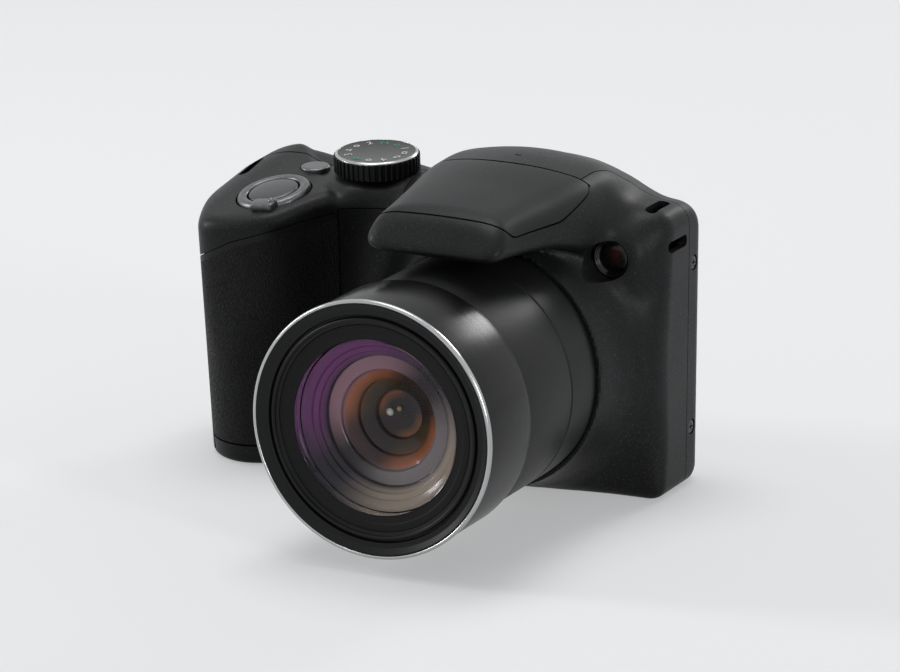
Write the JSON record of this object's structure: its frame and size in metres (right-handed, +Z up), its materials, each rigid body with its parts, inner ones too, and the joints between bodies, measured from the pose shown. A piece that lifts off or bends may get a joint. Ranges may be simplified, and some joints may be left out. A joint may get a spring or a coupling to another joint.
{
  "type": "bridge camera",
  "caption": "Bridge camera with a fixed zoom lens, deep rubber grip, pop-up flash over the lens, mode dial and zoom ring round the shutter.",
  "frame": {"origin": "mouth of the tripod socket in the base, under the lens axis", "axes": "+Z up, -Y the way the lens looks, -X the grip side"},
  "size_m": [0.1045, 0.0857, 0.069],
  "materials": {
    "body_plastic": "fine-grained satin black",
    "grip_leatherette": "pebbled matt black",
    "satin_black": "satin black",
    "gloss_black": "polished black",
    "front_shell": "glossy black enamel",
    "chrome_edge": "bright polished edge",
    "ring_metal": "satin dark grey",
    "matt_black": "dead matt black",
    "coated_glass": "coated optical glass",
    "clear_glass": "clear",
    "lamp_red": "dark red window",
    "lamp_white": "white",
    "steel": "brushed",
    "aluminium": "bare",
    "brass": "bare",
    "circuit": "green solder mask",
    "grey_plastic": "plain moulded grey",
    "screen": "dark screen glass",
    "battery_wrap": "plain wrap"
  },
  "bodies": {
    "camera_body": {"front_cover": "body_plastic", "rear_cover": "body_plastic", "top_cover": "body_plastic", "base_cover": "body_plastic", "grip_rubber": "grip_leatherette", "grip_trim": "satin_black", "terminal_block": "steel", "flash_well": "matt_black", "shutter_switch": "circuit", "lens_sleeve": "satin_black", "lens_base": "grey_plastic", "image_sensor": "screen", "rear_lens": "clear_glass", "iris_plate": "matt_black", "zoom_motor": "steel", "lamp_bezel": "gloss_black", "lamp_window": "lamp_red", "lamp_bulb": "lamp_white", "screen_glass": "screen", "screen_panel": "grey_plastic", "chassis_plate": "aluminium", "main_board": "circuit", "flash_capacitor": "battery_wrap", "speaker": "grey_plastic", "battery": "battery_wrap", "memory_card": "gloss_black", "battery_bay": "grey_plastic", "battery_contacts": "brass", "door_hinge_pin": "steel", "case_screws": "steel", "tripod_socket": "steel", "thumb_pad": "grip_leatherette"},
    "flash": {"flash_lid": "body_plastic", "flash_housing": "matt_black", "flash_reflector": "chrome_edge", "flash_tube": "clear_glass", "flash_window": "clear_glass", "flash_hinge_pin": "steel"},
    "mode_dial_body": {"mode_dial": "satin_black", "dial_face": "satin_black"},
    "zoom_ring_body": {"zoom_ring": "ring_metal"},
    "shutter_button_body": {"shutter_button": "ring_metal"},
    "power_button_body": {"power_button": "ring_metal"},
    "movie_button_body": {"movie_button": "satin_black"},
    "playback_button_body": {"playback_button": "satin_black"},
    "menu_button_body": {"menu_button": "satin_black"},
    "four_way_pad_body": {"four_way_pad": "satin_black"},
    "centre_button_body": {"centre_button": "satin_black"},
    "battery_door_body": {"battery_door": "body_plastic"},
    "door_latch_body": {"door_latch": "satin_black"},
    "terminal_cover_body": {"terminal_cover": "grip_leatherette"},
    "mid_barrel_body": {"mid_barrel": "satin_black"},
    "front_barrel_body": {"front_barrel": "front_shell", "trim_ring": "chrome_edge", "front_ring": "satin_black", "funnel": "matt_black", "front_lens": "coated_glass", "second_lens": "coated_glass"}
  },
  "joints": [
    {"name": "flash_hinge", "type": "hinge", "parent": "camera_body", "child": "flash", "pos_m": [0, -0.0205, 0.063], "axis": [-1, 0, 0], "range_deg": [0, 55]},
    {"name": "mode_dial_turn", "type": "hinge", "parent": "camera_body", "child": "mode_dial_body", "pos_m": [-0.0374, -0.0006, 0.05866], "axis": [0, -0.0698, 0.9976], "continuous": true},
    {"name": "zoom_ring_turn", "type": "hinge", "parent": "camera_body", "child": "zoom_ring_body", "pos_m": [-0.0534, -0.0154, 0.05576], "axis": [-0.1162, -0.2226, 0.968], "range_deg": [-18, 18], "stiffness_Nm_per_rad": 0.02},
    {"name": "shutter_press", "type": "slide", "parent": "camera_body", "child": "shutter_button_body", "axis": [0.1162, 0.2226, -0.968], "range_m": [0, 0.0008], "stiffness_N_per_m": 600},
    {"name": "power_press", "type": "slide", "parent": "camera_body", "child": "power_button_body", "axis": [0, 0.0698, -0.9976], "range_m": [0, 0.0004], "stiffness_N_per_m": 500},
    {"name": "movie_press", "type": "slide", "parent": "camera_body", "child": "movie_button_body", "axis": [0, -1, 0], "range_m": [0, 0.0005], "stiffness_N_per_m": 500},
    {"name": "playback_press", "type": "slide", "parent": "camera_body", "child": "playback_button_body", "axis": [0, -1, 0], "range_m": [0, 0.0005], "stiffness_N_per_m": 500},
    {"name": "menu_press", "type": "slide", "parent": "camera_body", "child": "menu_button_body", "axis": [0, -1, 0], "range_m": [0, 0.0005], "stiffness_N_per_m": 500},
    {"name": "centre_press", "type": "slide", "parent": "camera_body", "child": "centre_button_body", "axis": [0, -1, 0], "range_m": [0, 0.0005], "stiffness_N_per_m": 500},
    {"name": "four_way_rock", "type": "hinge", "parent": "camera_body", "child": "four_way_pad_body", "pos_m": [-0.056, 0.0092, 0.026], "axis": [1, 0, 0], "range_deg": [-1.6, 1.6], "stiffness_Nm_per_rad": 0.3},
    {"name": "battery_door_hinge", "type": "hinge", "parent": "camera_body", "child": "battery_door_body", "pos_m": [-0.04435, -0.0025, 0.00105], "axis": [0, -1, 0], "range_deg": [0, 90]},
    {"name": "latch_slide", "type": "slide", "parent": "battery_door_body", "child": "door_latch_body", "axis": [1, 0, 0], "range_m": [0, 0.0016]},
    {"name": "terminal_cover_fold", "type": "hinge", "parent": "camera_body", "child": "terminal_cover_body", "pos_m": [-0.07176, 0.00455, 0.017], "axis": [0.0356, 0, -0.9994], "range_deg": [0, 85]},
    {"name": "mid_barrel_slide", "type": "slide", "parent": "camera_body", "child": "mid_barrel_body", "axis": [0, -1, 0], "range_m": [0, 0.02]},
    {"name": "front_barrel_slide", "type": "slide", "parent": "mid_barrel_body", "child": "front_barrel_body", "axis": [0, -1, 0], "range_m": [0, 0.02]}
  ],
  "couplings": [
    {"joint": "front_barrel_slide", "follows": "mid_barrel_slide", "ratio": 1}
  ]
}
